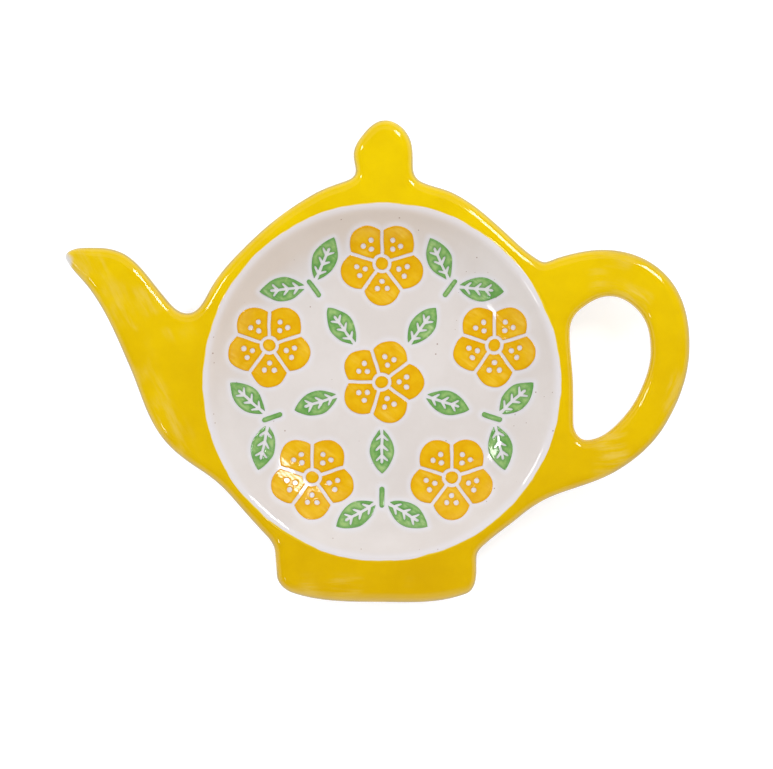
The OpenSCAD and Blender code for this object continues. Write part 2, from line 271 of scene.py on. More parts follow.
# %% Specks: round dots of iron, some large and half of them missing
SMALLEST_SHARE = 0.35
SOLID_SHARE = 0.4
specks, given, put_out = new_group("kiln_specks", {
    "Spacing": 2.0 * MM, "Radius Share": 0.085, "Missing Share": 0.5}, "Mask", "Float")
cells = add_node(specks, "TexVoronoi", {"Vector": object_place(specks), "Scale": calculate(
    specks, "DIVIDE", 1.0, given["Spacing"])})
chance = add_node(specks, "SeparateColor", {0: cells.outputs["Color"]}).outputs
size_share = calculate(specks, "ADD", chance["Green"], SMALLEST_SHARE)
size = product(specks, given["Radius Share"], size_share)
inside = fade(specks, cells.outputs["Distance"], size, product(specks, size, SOLID_SHARE))
kept = calculate(specks, "GREATER_THAN", chance["Red"], given["Missing Share"])
put_out(product(specks, inside, kept))

# %% Brush streaks: noise drawn out along a straight line or round a centre
BRISTLE = (0.4, 0.68)
PATCH_SOFTNESS = 0.2
streaks, given, put_out = new_group("brush_streaks", {
    "Centre": (0.0, 0.0, 0.0), "Turn": (0.0, 0.0, 0.0), "Round": 0.0, "Bend Radius": 15 * MM,
    "Length": 9 * MM, "Width": 1.6 * MM, "Patch Size": 9 * MM, "Cover": 0.5}, "Mask", "Float")
moved = add_node(streaks, "VectorMath", {0: object_place(streaks), 1: given["Centre"]},
                 operation="SUBTRACT").outputs[0]
turned = add_node(streaks, "VectorRotate", {"Vector": moved, "Rotation": given["Turn"]},
                  rotation_type="EULER_XYZ").outputs[0]
x, y, z = add_node(streaks, "SeparateXYZ", {0: turned}).outputs
round_way = product(streaks, calculate(streaks, "ARCTAN2", y, x), given["Bend Radius"])
along = add_node(streaks, "Mix", {0: given["Round"], 2: x, 3: round_way}).outputs[0]
across = add_node(streaks, "Mix", {0: given["Round"], 2: y, 3: flat_radius(streaks, x, y)}).outputs[0]
stretched = add_node(streaks, "CombineXYZ", {
    0: calculate(streaks, "DIVIDE", along, given["Length"]),
    1: calculate(streaks, "DIVIDE", across, given["Width"])}).outputs[0]
lines = add_node(streaks, "TexNoise", {"Vector": stretched, "Scale": 1.0, "Detail": 5.0,
                                       "Roughness": 0.62}).outputs["Fac"]
patches = add_node(streaks, "TexNoise", {
    "Vector": moved, "Scale": calculate(streaks, "DIVIDE", 1.0, given["Patch Size"]),
    "Detail": 1.0}).outputs["Fac"]
threshold = calculate(streaks, "SUBTRACT", 1.0, given["Cover"])
patch_full = calculate(streaks, "ADD", threshold, PATCH_SOFTNESS)
put_out(product(streaks, fade(streaks, lines, *BRISTLE), fade(streaks, patches, threshold, patch_full)))

# %% Ripple: the height of a glaze that ran a little before it set
ripple, given, put_out = new_group("glaze_ripple", {"Wave Size": 5 * MM}, "Height", "Float")
frequency = calculate(ripple, "DIVIDE", 1.0, given["Wave Size"])
waves = add_node(ripple, "TexNoise", {"Vector": object_place(ripple), "Scale": frequency,
                                      "Detail": 2.0, "Roughness": 0.35}).outputs["Fac"]
put_out(waves)
print("node groups:", [g.name for g in bpy.data.node_groups])


# %% [markdown]
# ## The glazes
# A glaze is coloured glass over clay. The Principled shader does that without a coat: its
# base colour is the coloured layer and its own gloss is the glass. The yellow is brushed on
# by hand, so it has milky streaks on the handle, the spout and the base. It is painted
# lighter at the upper side and darker towards the base, partly as painted light and partly
# as real variation of the glaze. Its outermost edge has an olive line of thinner glaze and
# painted shade together, the handle's rounded edge has a wider band of painted shade, and
# the base's lower rounded edge a lighter band of milky glaze and painted light together. It
# has pulled back to a pale patch at the spout's tip. A value painted on the mesh says how
# many millimetres a place lies inside the outer edge.

# %% Helper for a fired finish
def fired_finish(name, tree_colour, roughness, wave_size=5.0, wave_height=0.05, dullness=0.04):
    """A Principled material. tree_colour takes the tree and gives the base colour."""
    made = bpy.data.materials.new(name)
    made.use_nodes = True
    tree = made.node_tree
    shader = tree.nodes["Principled BSDF"]
    tree.links.new(tree_colour(tree), shader.inputs["Base Color"])
    height = use_group(tree, ripple, Wave_Size=wave_size * MM)
    gloss = calculate(tree, "MULTIPLY_ADD", height, dullness)
    gloss.node.inputs[2].default_value = roughness
    tree.links.new(gloss, shader.inputs["Roughness"])
    bump = add_node(tree, "Bump", {"Height": height, "Distance": wave_height * MM, "Strength": 1.0})
    tree.links.new(bump.outputs[0], shader.inputs["Normal"])
    return made


def object_axes(tree):
    return add_node(tree, "SeparateXYZ", {0: object_place(tree)}).outputs


def mesh_value(tree, name):
    return add_node(tree, "Attribute", attribute_name=name).outputs["Fac"]


# %% Yellow glaze
HANDLE_CENTRE = (45 * MM, 6 * MM, 0)
SPOUT_ROOT = (-40 * MM, 0, 0)
BASE_ROOT = (0, -40 * MM, 0)
SPOUT_TIP = (-65.1 * MM, 25.2 * MM, 12.8 * MM)
SHOULDER_Z = BODY_TOP - 1.35 * MM

# Milky glaze of the brush streaks; on the base's lower rounded edge it is also painted light.
MILKY_AND_LIT_YELLOW = colour(238, 210, 112)
# Olive line at the outermost edge: thinner glaze there together with painted shade of the edge.
SHADED_THIN_EDGE = colour(142, 120, 40)
# Painted shade: a darker yellow on the handle's rounded edge.
SHADED_HANDLE_EDGE = colour(186, 152, 2)
BARE_TIP = colour(226, 222, 218)
HANDLE_MILK, SPOUT_MILK, BASE_MILK, BASE_EDGE_MILK_AND_LIGHT = 0.42, 0.36, 0.45, 0.25
EDGE_SHADE_SHARE, HANDLE_SHADE_SHARE = 0.55, 0.45

# Each pair says where an effect starts and where it is full. These are places on the dish.
# Painted light and glaze together: the yellow is lighter at the upper side and darker towards the base.
SHADE_AND_GLAZE_SPAN = (50 * MM, -45 * MM)
ON_HANDLE, ROUND_HANDLE = (42 * MM, 46 * MM), (44 * MM, 50 * MM)
ON_SPOUT = (-37 * MM, -42 * MM)
ON_BASE, LOW_ON_BASE = (-39 * MM, -42 * MM), (-41.5 * MM, -44 * MM)
ON_ROUNDING = (BODY_TOP - 2.6 * MM, BODY_TOP - 1.9 * MM)
NEAR_SHOULDER, NEAR_TIP = (0.95 * MM, 0.15 * MM), (1.9 * MM, 0.9 * MM)
# These are millimetres inside the outer edge.
SPOUT_BAND, BASE_EDGE_LIGHT_BAND, EDGE_SHADE_BAND, HANDLE_SHADE_BAND = (7, 3.5), (2.2, 1.2), (0.55, 0.2), (1.2, 0.2)
EDGE_SHADE_PATCHES = (0.25, 0.5)
EDGE_SHADE_PATCH_SIZE = 9 * MM


def yellow_colour(tree):
    x, y, z = object_axes(tree)
    inside = mesh_value(tree, "edge")
    # Lighter upper and darker lower yellow: partly painted light falloff from the lamps, partly real glaze
    # variation.
    upper = use_group(tree, mottle, Thin=colour(244, 210, 1), Thick=colour(235, 199, 1),
                      Patch_Size=14 * MM)
    lower = use_group(tree, mottle, Thin=colour(226, 182, 1), Thick=colour(216, 170, 1),
                      Patch_Size=14 * MM)
    shade_and_glaze_share = add_node(tree, "MapRange", {0: y, 1: SHADE_AND_GLAZE_SPAN[0], 2: SHADE_AND_GLAZE_SPAN[1]}).outputs[0]
    base = blend_colours(tree, shade_and_glaze_share, upper, lower)
    handle_streaks = use_group(tree, streaks, Centre=HANDLE_CENTRE, Round=1.0, Length=7 * MM,
                               Width=1.3 * MM, Cover=0.55)
    spout_streaks = use_group(tree, streaks, Centre=SPOUT_ROOT, Turn=(0, 0, radians(62)),
                              Patch_Size=7 * MM, Cover=0.6)
    base_streaks = use_group(tree, streaks, Centre=BASE_ROOT, Length=14 * MM, Width=1.1 * MM,
                             Cover=0.56)
    for shares in [
            (handle_streaks, fade(tree, x, *ON_HANDLE), HANDLE_MILK),
            (spout_streaks, fade(tree, x, *ON_SPOUT), fade(tree, inside, *SPOUT_BAND), SPOUT_MILK),
            (base_streaks, fade(tree, y, *ON_BASE), BASE_MILK),
            # The base's lower rounded edge: milky glaze and painted light together.
            (fade(tree, inside, *BASE_EDGE_LIGHT_BAND), fade(tree, y, *LOW_ON_BASE), BASE_EDGE_MILK_AND_LIGHT)]:
        base = blend_colours(tree, product(tree, *shares), base, MILKY_AND_LIT_YELLOW)
    # The outermost edge's olive line: thinner glaze and painted shade together.
    off_shoulder = calculate(tree, "ABSOLUTE", calculate(tree, "SUBTRACT", z, SHOULDER_Z))
    uneven = add_node(tree, "TexNoise", {"Vector": object_place(tree), "Scale": 1 / EDGE_SHADE_PATCH_SIZE})
    edge_shade_and_thin_glaze = product(tree, fade(tree, off_shoulder, *NEAR_SHOULDER), fade(tree, inside, *EDGE_SHADE_BAND),
                   fade(tree, uneven.outputs["Fac"], *EDGE_SHADE_PATCHES), EDGE_SHADE_SHARE)
    base = blend_colours(tree, edge_shade_and_thin_glaze, base, SHADED_THIN_EDGE)
    # Painted shade on the handle's rounded edge.
    handle_edge_shade = product(tree, fade(tree, inside, *HANDLE_SHADE_BAND), fade(tree, x, *ROUND_HANDLE),
                      fade(tree, z, *ON_ROUNDING), HANDLE_SHADE_SHARE)
    base = blend_colours(tree, handle_edge_shade, base, SHADED_HANDLE_EDGE)
    gap = add_node(tree, "VectorMath", {0: object_place(tree), 1: SPOUT_TIP}, operation="DISTANCE")
    return blend_colours(tree, fade(tree, gap.outputs["Value"], *NEAR_TIP), base, BARE_TIP)


yellow_glaze = fired_finish("yellow_glaze", yellow_colour, roughness=0.045)

# %% [markdown]
# The white glaze lines the well and covers the underside. It is a grey white with iron
# specks, cooler on the lip, and overrun by the yellow in places just outside the lip. High on
# the well's upper left wall it is painted darker and warmer: painted shade. Round each
# painted motif the wax that held the enamel back burned away and left a cooler, lighter
# line. A value painted on the mesh says where those lines are.

# %% White glaze
LILAC_WHITE = colour(233, 230, 237)
# Painted shade: a darker, warmer white high on the well's upper left wall.
SHADED_WARM_WHITE = colour(214, 192, 170)
SPECK_BROWN = colour(150, 112, 92)
RUN_YELLOW = colour(236, 202, 20)
LIP_SHARE, HALO_SHARE, WALL_SHADE_SHARE, SPECK_SHARE = 0.5, 0.7, 0.45, 0.8

# Pairs again: where an effect starts and where it is full. The first two are radii.
ON_LIP, HIGH_ON_WALL = (35.2 * MM, 36.6 * MM), (27.5 * MM, 33 * MM)
NEAR_TOP = (BODY_TOP - 3 * MM, BODY_TOP - 1.5 * MM)
ABOVE_PLATE = (BODY_TOP - 6 * MM, BODY_TOP - 5.5 * MM)
WALL_SHADE_WAY = (cos(radians(120)), sin(radians(120)), 0)
FAR_THAT_WAY = (8 * MM, 30 * MM)
RUN_RADIUS, RUN_SOFTNESS, RUN_WOBBLE, RUN_WAVE = 37.05 * MM, 0.12 * MM, 0.9 * MM, 6 * MM


def white_colour(tree):
    base = use_group(tree, mottle, Thin=colour(229, 222, 219), Thick=colour(223, 215, 211),
                     Patch_Size=16 * MM)
    place = object_place(tree)
    x, y, z = object_axes(tree)
    far = flat_radius(tree, x, y)
    # Painted shade high on the upper left wall of the well.
    towards = add_node(tree, "VectorMath", {0: place, 1: WALL_SHADE_WAY}, operation="DOT_PRODUCT")
    wall_shade = product(tree, fade(tree, towards.outputs["Value"], *FAR_THAT_WAY),
                   fade(tree, far, *HIGH_ON_WALL), fade(tree, z, *ABOVE_PLATE), WALL_SHADE_SHARE)
    base = blend_colours(tree, wall_shade, base, SHADED_WARM_WHITE)
    near_top = fade(tree, z, *NEAR_TOP)
    cool = calculate(tree, "MAXIMUM", product(tree, fade(tree, far, *ON_LIP), LIP_SHARE, near_top),
                     product(tree, mesh_value(tree, "halo"), HALO_SHARE))
    base = blend_colours(tree, cool, base, LILAC_WHITE)
    base = blend_colours(tree, product(tree, use_group(tree, specks), SPECK_SHARE), base, SPECK_BROWN)
    wobble = add_node(tree, "TexNoise", {"Vector": place, "Scale": 1 / RUN_WAVE}).outputs["Fac"]
    wobble = product(tree, calculate(tree, "SUBTRACT", wobble, 0.5), RUN_WOBBLE)
    run = fade(tree, calculate(tree, "ADD", far, wobble), RUN_RADIUS - RUN_SOFTNESS,
               RUN_RADIUS + RUN_SOFTNESS)
    return blend_colours(tree, product(tree, run, near_top), base, RUN_YELLOW)


white_glaze = fired_finish("white_glaze", white_colour, roughness=0.06, wave_size=7.0, wave_height=0.06)

# %% [markdown]
# The enamel is painted on in watery strokes, so it is uneven inside a stroke and a little
# deeper where it pooled along the stroke's edge. The green shows that more than the orange.

# %% Orange and green enamel, and the bare clay of the foot
STROKE_SHARE = 0.6
POOL_BAND = (0.7, 0.1)
CLAY_SPECK_SHARE = 0.6


def enamel_colour(thin, thick, pool, pool_share, stroke, stroke_width):
    def build(tree):
        base = use_group(tree, mottle, Thin=thin, Thick=thick, Patch_Size=3.5 * MM)
        mask = use_group(tree, streaks, Turn=(0, 0, radians(35)), Length=5 * stroke_width,
                         Width=stroke_width, Patch_Size=5 * MM, Cover=0.58)
        base = blend_colours(tree, product(tree, mask, STROKE_SHARE), base, stroke)
        pooled = product(tree, fade(tree, mesh_value(tree, "edge"), *POOL_BAND), pool_share)
        return blend_colours(tree, pooled, base, pool)
    return build


orange_enamel = fired_finish("orange_enamel", enamel_colour(
    thin=colour(240, 190, 20), thick=colour(230, 172, 3), pool=colour(227, 162, 3), pool_share=0.6,
    stroke=colour(249, 208, 74), stroke_width=1.2 * MM), roughness=0.06, wave_size=4.0)
green_enamel = fired_finish("green_enamel", enamel_colour(
    thin=colour(170, 202, 128), thick=colour(108, 164, 82), pool=colour(90, 152, 76), pool_share=0.65,
    stroke=colour(196, 218, 164), stroke_width=0.7 * MM), roughness=0.07, wave_size=3.0)


def clay_colour(tree):
    base = use_group(tree, mottle, Thin=colour(214, 198, 178), Thick=colour(196, 178, 156),
                     Patch_Size=5 * MM)
    spots = use_group(tree, specks, Spacing=1.6 * MM, Radius_Share=0.1, Missing_Share=0.4)
    return blend_colours(tree, product(tree, spots, CLAY_SPECK_SHARE), base, colour(120, 92, 70))


bare_clay = fired_finish("bare_clay", clay_colour, roughness=0.75, wave_size=0.5, wave_height=0.04,
                         dullness=0.2)
print("materials:", [m.name for m in (yellow_glaze, white_glaze, orange_enamel, green_enamel, bare_clay)])


# %% [markdown]
# ## From a bmesh to a piece of the dish
# Every piece ends the same way: it gets a gentle unevenness, because the dish was pressed
# and finished by hand, its normals point outwards, it is shaded smooth except over sharp
# corners, and it rides on the frame's one body. The unevenness is one smooth field in
# space, so that layers which touch move together. It only ever lowers the rim, and it fades
# out towards the foot, which has to stand flat. The small helpers after it pick the edges
# or the corners out of what an operator gives back, add one bmesh to another, and find how
# far a place is from a row of points.

# %% Helpers for finished pieces
FOOT_HEIGHT = 3.0
FADE_HEIGHT = 4
SAG = 0.1
SWAY = 0.09
LONG_WAVE, SHORT_WAVE, SIDE_WAVE = 13, 5, 17
SHORT_SHARE = 0.4
ELSEWHERE = Vector((40, 0, 0)), Vector((0, 40, 0))
WELD = 0.002


def hand_made(point):
    """Where a point of the perfect shape, in metres, lies on the pressed and fired one."""
    here = point / MM
    share = min(max((here.z - FOOT_HEIGHT) / FADE_HEIGHT, 0), 1)
    wave = noise.noise(here / LONG_WAVE) + SHORT_SHARE * noise.noise(here / SHORT_WAVE)
    side = Vector([noise.noise(here / SIDE_WAVE + away) for away in ELSEWHERE] + [0])
    return point + MM * share * (SWAY * side + Vector((0, 0, SAG * (wave - 1))))


def finished_piece(bm, name, material, nodes, sharp_angle=50):
    bmesh.ops.remove_doubles(bm, verts=bm.verts, dist=WELD * MM)
    bmesh.ops.recalc_face_normals(bm, faces=bm.faces)
    for vert in bm.verts:
        vert.co = hand_made(vert.co)
    loose_edges = sum(1 for edge in bm.edges if not edge.is_manifold)
    mesh = bpy.data.meshes.new(name)
    bm.to_mesh(mesh)
    bm.free()
    mesh.polygons.foreach_set("use_smooth", [True] * len(mesh.polygons))
    mesh.set_sharp_from_angle(angle=radians(sharp_angle))
    mesh.materials.append(material)
    piece = bpy.data.objects.new(name, mesh)
    scene.collection.objects.link(piece)
    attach(piece, "root")
    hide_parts(*nodes)
    triangles = sum(len(p.vertices) - 2 for p in mesh.polygons)
    print(f"{name}: {triangles} triangles, {loose_edges} open edges")
    return piece


# %% Small helpers for bmesh work
def edges_in(geom):
    return [g for g in geom if isinstance(g, bmesh.types.BMEdge)]


def verts_in(geom):
    return [g for g in geom if isinstance(g, bmesh.types.BMVert)]


def add_to(target, source):
    """Adds one bmesh to another. The source is used up."""
    mesh = bpy.data.meshes.new("added_part")
    source.to_mesh(mesh)
    source.free()
    target.from_mesh(mesh)
    bpy.data.meshes.remove(mesh)


def search_tree(points):
    """For asking how far a place is from the nearest of the points."""
    tree = kdtree.KDTree(len(points))
    for i, point in enumerate(points):
        tree.insert(point, i)
    tree.balance()
    return tree


# %% [markdown]
# ## The outline of the teapot
# The plate was cut to a drawn outline: knob, body, spout, base and handle, with one hole
# for a finger. It could be traced point by point, but a curve with few knots stays smooth
# and is easy to change. Each row gives a knot as shares of its region's sizes, the heading
# of the edge there in degrees, and how much of the edge's rounding fits at that knot.

# %% Sizes and knots of the outline
BODY_R, BODY_H, PLATE_T, RIM_W = 40, 14, 6.5, 2.9
EDGE_R, UNDER_EDGE_R, GLAZE_T = 2, 1.4, 0.4
PLATE_Z = BODY_H - PLATE_T
WELL_R = BODY_R - RIM_W
GRIP_W, HANDLE_L, HANDLE_H, HANDLE_Y = 8.4, 23.8, 48.5, 3.2
HOLE_L = HANDLE_L - GRIP_W + GLAZE_T
ROOT_SHARE = 0.23
HOLE_H = HANDLE_H - (2 + ROOT_SHARE) * GRIP_W

REGIONS = [
    # the left side of the knob
    ((0, BODY_R), (12.4, 14.2), [
        (0.05, 1, 180, 1), (-0.33, 0.78, 232, 1), (-0.48, 0.49, 270, 1), (-0.44, 0.25, 272, 1)]),
    # the body from the knob to the spout
    ((0, 0), (BODY_R, BODY_R), [
        (-0.195, 1.037, 198, 1), (-0.365, 0.967, 210, 1), (-0.69, 0.72, 225, 1), (-0.895, 0.47, 242, 1)]),
    # the spout
    ((-BODY_R, 0), (25.7, 27.8), [
        (-0.01, 0.51, 180, 1), (-0.22, 0.66, 130, 1), (-0.475, 0.925, 142, 1), (-0.76, 1, 180, 1),
        (-0.957, 0.978, 205, 0.35), (-0.998, 0.92, 296, 0.35), (-0.795, 0.683, 306, 1),
        (-0.48, 0.115, 294, 1), (-0.25, -0.37, 303, 1)]),
    # the body from the spout to the base
    ((0, 0), (BODY_R, BODY_R), [
        (-0.94, -0.4575, 327, 1), (-0.785, -0.59, 311, 1), (-0.6025, -0.795, 314, 1),
        (-0.5525, -0.89, 272, 1)]),
    # the base
    ((0, -BODY_R), (41.6, 5.7), [
        (-0.524, 0, 272, 1), (-0.442, -0.67, 342, 1), (-0.02, -1, 360, 1), (0.42, -0.7, 380, 1),
        (0.471, 0, 448, 1)]),
    # the body from the base to the handle
    ((0, 0), (BODY_R, BODY_R), [(0.49, -0.91, 450, 1), (0.545, -0.8325, 402, 1), (0.71, -0.7025, 400, 1)]),
    # the handle
    ((BODY_R, HANDLE_Y), (HANDLE_L, HANDLE_H), [
        (-0.15, -0.547, 380, 1), (0.38, -0.443, 392, 1), (0.8, -0.24, 420, 1), (1, 0.09, 450, 1),
        (0.82, 0.377, 490, 1), (0.25, 0.5, 540, 1), (-0.15, 0.464, 557, 1)]),
    # the body from the handle to the knob
    ((0, 0), (BODY_R, BODY_R), [
        (0.8225, 0.625, 510, 1), (0.6275, 0.785, 498, 1), (0.37, 0.9775, 514, 1), (0.2, 1.0375, 514, 1)]),
    # the right side of the knob
    ((0, BODY_R), (12.4, 14.2), [(0.52, 0.29, 452, 1), (0.45, 0.765, 478, 1)]),
]
HOLE = [((BODY_R, HANDLE_Y), (HOLE_L, HOLE_H), [
    (0.46, 0.487, 180, 1), (0.06, 0.388, 220, 1), (-0.064, 0.247, 268, 1), (-0.02, -0.138, 271, 1),
    (-0.02, -0.396, 270, 1), (0.14, -0.513, 360, 1), (0.635, -0.352, 408, 1), (0.895, -0.12, 428, 1),
    (0.99, 0.1, 450, 1), (0.85, 0.374, 490, 1)])]
REACH_SHARE = 0.35


# %% The smooth curve through the knots
def knots(regions):
    return [(corner[0] + x * size[0], corner[1] + y * size[1], radians(turn), share)
            for corner, size, rows in regions for x, y, turn, share in rows]


def outline_ring(rows, inset, steps):
    """Points of the closed curve through the knots, drawn in by inset, in millimetres."""
    points = []
    for here, after in zip(rows, rows[1:] + rows[:1]):
        start, end = (Vector((x - inset * share * sin(turn), y + inset * share * cos(turn), 0))
                      for x, y, turn, share in (here, after))
        reach = REACH_SHARE * (end - start).length
        leave = start + reach * Vector((cos(here[2]), sin(here[2]), 0))
        arrive = end - reach * Vector((cos(after[2]), sin(after[2]), 0))
        points += geometry.interpolate_bezier(start, leave, arrive, end, steps + 1)[:-1]
    return points


teapot_knots, hole_knots = knots(REGIONS), knots(HOLE)
print("knots:", len(teapot_knots), "and", len(hole_knots))

# %% [markdown]
# ## The rim
# The rim, the spout, the handle and the knob are one flat plate with a soft round edge, the
# well cut out of it. A bevel of two millimetres fails in the tight notches of the outline,
# so the edge grows as rings instead: each ring of edges is extruded and laid on the outline
# drawn in by the next step of the rounding. The cut for the well narrows on its way down,
# to inside the place where the bowl's outside meets the plate, so no gap opens there. The
# flat faces are filled, and a voxel remesh gives the whole plate even faces, which the
# hand-made unevenness needs.

# %% The plate with its rounded edges
RING_STEPS = 14
ROUND_STEPS = 8
EVEN_FACE = 0.4
WELL_CUT_R, WELL_ROOT_R = WELL_R - 0.15, 34
WELL_CUT_SIDES = 320


def rounded_section():
    """[inset, height] from the top face, round the edge, to the underside."""
    quarter = [radians(90 * i / ROUND_STEPS) for i in range(ROUND_STEPS + 1)]
    return ([(EDGE_R - EDGE_R * sin(t), BODY_H - EDGE_R + EDGE_R * cos(t)) for t in quarter]
            + [(UNDER_EDGE_R - UNDER_EDGE_R * cos(t), PLATE_Z + UNDER_EDGE_R - UNDER_EDGE_R * sin(t))
               for t in quarter])


def edge_wall(bm, rows, side):
    """The rounded wall round an outline. Gives its top and its bottom ring of edges."""
    rings = [[Vector((p.x, p.y, z)) * MM for p in outline_ring(rows, side * inset, RING_STEPS)]
             for inset, z in rounded_section()]
    verts = [bm.verts.new(p) for p in rings[0]]
    top = edges = [bm.edges.new((verts[i - 1], verts[i])) for i in range(len(verts))]
    for ring in rings[1:]:
        grown = bmesh.ops.extrude_edge_only(bm, edges=edges)["geom"]
        fresh, edges = set(verts_in(grown)), edges_in(grown)
        verts = [next(e.other_vert(v) for e in v.link_edges if e.other_vert(v) in fresh) for v in verts]
        for vert, place in zip(verts, ring):
            vert.co = place
    return top, edges


bm = bmesh.new()
outer_top, outer_bottom = edge_wall(bm, teapot_knots, 1)
hole_top, hole_bottom = edge_wall(bm, hole_knots, -1)
circle = bmesh.ops.create_circle(bm, segments=WELL_CUT_SIDES, radius=WELL_CUT_R * MM,
                                 matrix=Matrix.Translation((0, 0, BODY_H * MM)))
well_top = list({e for v in circle["verts"] for e in v.link_edges})
grown = bmesh.ops.extrude_edge_only(bm, edges=well_top)["geom"]
well_bottom, well_root = edges_in(grown), verts_in(grown)
bmesh.ops.translate(bm, verts=well_root, vec=(0, 0, -PLATE_T * MM))
taper = WELL_ROOT_R / WELL_CUT_R
bmesh.ops.scale(bm, verts=well_root, vec=(taper, taper, 1))
for edges in (outer_top + hole_top + well_top, outer_bottom + hole_bottom + well_bottom):
    bmesh.ops.triangle_fill(bm, edges=edges, use_beauty=True)
bmesh.ops.recalc_face_normals(bm, faces=bm.faces)
print("plate volume:", round(bm.calc_volume(signed=True) / MM ** 3), "cubic mm")


# %% Even faces, softened
def even_faces(bm, face_size, passes):
    """The same closed shape with even faces. The bmesh given is used up."""
    mesh = bpy.data.meshes.new("rough_shape")
    bm.to_mesh(mesh)
    bm.free()
    rough = bpy.data.objects.new("rough_shape", mesh)
    scene.collection.objects.link(rough)
    remesh = rough.modifiers.new("even_faces", "REMESH")
    remesh.mode, remesh.voxel_size = "VOXEL", face_size * MM
    even = bpy.data.meshes.new_from_object(rough.evaluated_get(bpy.context.evaluated_depsgraph_get()))
    bpy.data.objects.remove(rough)
    made = bmesh.new()
    made.from_mesh(even)
    for _ in range(passes):
        bmesh.ops.smooth_vert(made, verts=made.verts, factor=0.5,
                              use_axis_x=True, use_axis_y=True, use_axis_z=True)
    return made


plate = even_faces(bm, EVEN_FACE, passes=5)
print("plate faces:", len(plate.faces), "volume:", round(plate.calc_volume(signed=True) / MM ** 3))


# %% Split the plate into the yellow rim and the white underside
ON_PLANE = 0.001
OUTLINE_STEPS = 80


def cut_flat(source, z, keep_upper):
    """A copy of a closed shape, cut level at z and closed again."""
    made = source.copy()
    cut = bmesh.ops.bisect_plane(
        made, geom=made.verts[:] + made.edges[:] + made.faces[:], dist=ON_PLANE * MM,
        plane_co=(0, 0, z * MM), plane_no=(0, 0, 1), clear_inner=keep_upper,
        clear_outer=not keep_upper)["geom_cut"]
    bmesh.ops.triangle_fill(made, edges=edges_in(cut), use_beauty=True)
    return made


rim = cut_flat(plate, PLATE_Z + GLAZE_T, keep_upper=True)
underside = cut_flat(plate, PLATE_Z + GLAZE_T, keep_upper=False)
plate.free()
outline_points = search_tree(outline_ring(teapot_knots, 0, OUTLINE_STEPS))
edge_value = rim.verts.layers.float.new("edge")
for vert in rim.verts:
    vert[edge_value] = outline_points.find((vert.co.x / MM, vert.co.y / MM, 0))[2]
finished_piece(rim, "glazed_rim", yellow_glaze, ["rim_glaze"], sharp_angle=75)

# %% [markdown]
# ## The well, the underside and the foot
# All of these were turned, so each is half a section spun round the axis of the well. The
# section starts as a vertex, arcs come from spinning that vertex round their own centres,
# and the well's wall meets the floor and the lip without a crease. The lining runs a little
# way under the rim, where the yellow glaze was brushed over it. The glaze below runs a
# little way into the plate and the foot, and the clay stops short of the lip, so that none
# of their ends show.

# %% Sizes and helpers for turned pieces
WELL_DEPTH, FLOOR_R, LIP_R, WALL_T = 7, 20, 3, 4
FOOT_R, FOOT_W, FOOT_ROUND = 25.5, 3.5, 0.5
FLOOR_Z = BODY_H - WELL_DEPTH
BOWL_R = ((WELL_R - FLOOR_R) ** 2 + WELL_DEPTH ** 2 - 2 * WELL_DEPTH * LIP_R) / (2 * WELL_DEPTH)
BOWL_Z = FLOOR_Z + BOWL_R
LIP_ANGLE = atan2(WELL_DEPTH - LIP_R - BOWL_R, WELL_R - FLOOR_R)
TUCK_OUT, TUCK_DOWN = 0.5, 0.25
SUNK_IN_PLATE, SUNK_IN_FOOT = 0.3, 0.5
SHORT_OF_LIP = 0.15
TURN_STEPS = 360


def start_at(bm, x, z):
    return bm.verts.new((x * MM, 0, z * MM))


def line_to(bm, vert, x, z, steps=1):
    """Extrudes a vertex of the section along a straight line. Gives the line's end."""
    stride = (Vector((x * MM, 0, z * MM)) - vert.co) / steps
    for _ in range(steps):
        vert = bmesh.ops.extrude_vert_indiv(bm, verts=[vert])["verts"][0]
        bmesh.ops.translate(bm, verts=[vert], vec=stride)
    return vert


def arc_to(bm, vert, centre, angle, steps):
    """Spins a vertex of the section round a centre; a positive angle climbs outwards."""
    made = bmesh.ops.spin(bm, geom=[vert], cent=(centre[0] * MM, 0, centre[1] * MM), axis=(0, 1, 0),
                          angle=-angle, steps=steps, use_duplicate=False)
    return verts_in(made["geom_last"])[0]


def turn_section(bm, name):
    """Spins the whole section once round the axis of the well and closes the seam."""
    ends = [[round(c / MM, 2) for c in v.co.xz] for v in bm.verts if len(v.link_edges) == 1]
    print(name, "section ends:", ends)
    bmesh.ops.spin(bm, geom=bm.verts[:] + bm.edges[:], cent=(0, 0, 0), axis=(0, 0, 1), angle=2 * pi,
                   steps=TURN_STEPS, use_merge=True, use_duplicate=False)
    bmesh.ops.remove_doubles(bm, verts=bm.verts, dist=WELD * MM)
    return bm


def well_section(bm, depth, floor_steps, wall_steps, lip_steps):
    """The well from its axis to the top of its lip, depth below the glaze's surface."""
    start = start_at(bm, 0, FLOOR_Z - depth)
    foot = line_to(bm, start, FLOOR_R, FLOOR_Z - depth, floor_steps)
    wall = arc_to(bm, foot, (FLOOR_R, BOWL_Z), pi / 2 + LIP_ANGLE, wall_steps)
    return arc_to(bm, wall, (WELL_R, BODY_H - LIP_R), -(pi / 2 + LIP_ANGLE), lip_steps)


# %% The lining of the well
bm = bmesh.new()
lip = well_section(bm, 0, floor_steps=40, wall_steps=32, lip_steps=7)
under_rim = line_to(bm, lip, WELL_R + TUCK_OUT, BODY_H - TUCK_DOWN)
lower_lip = well_section(bm, GLAZE_T, floor_steps=8, wall_steps=10, lip_steps=3)
bm.edges.new((under_rim, lower_lip))
lining = finished_piece(turn_section(bm, "lining"), "well_lining", white_glaze,
                        ["well_glaze"])

# %% The underside: the cut plate and the outside of the bowl
UNDER_R = BOWL_R + WALL_T


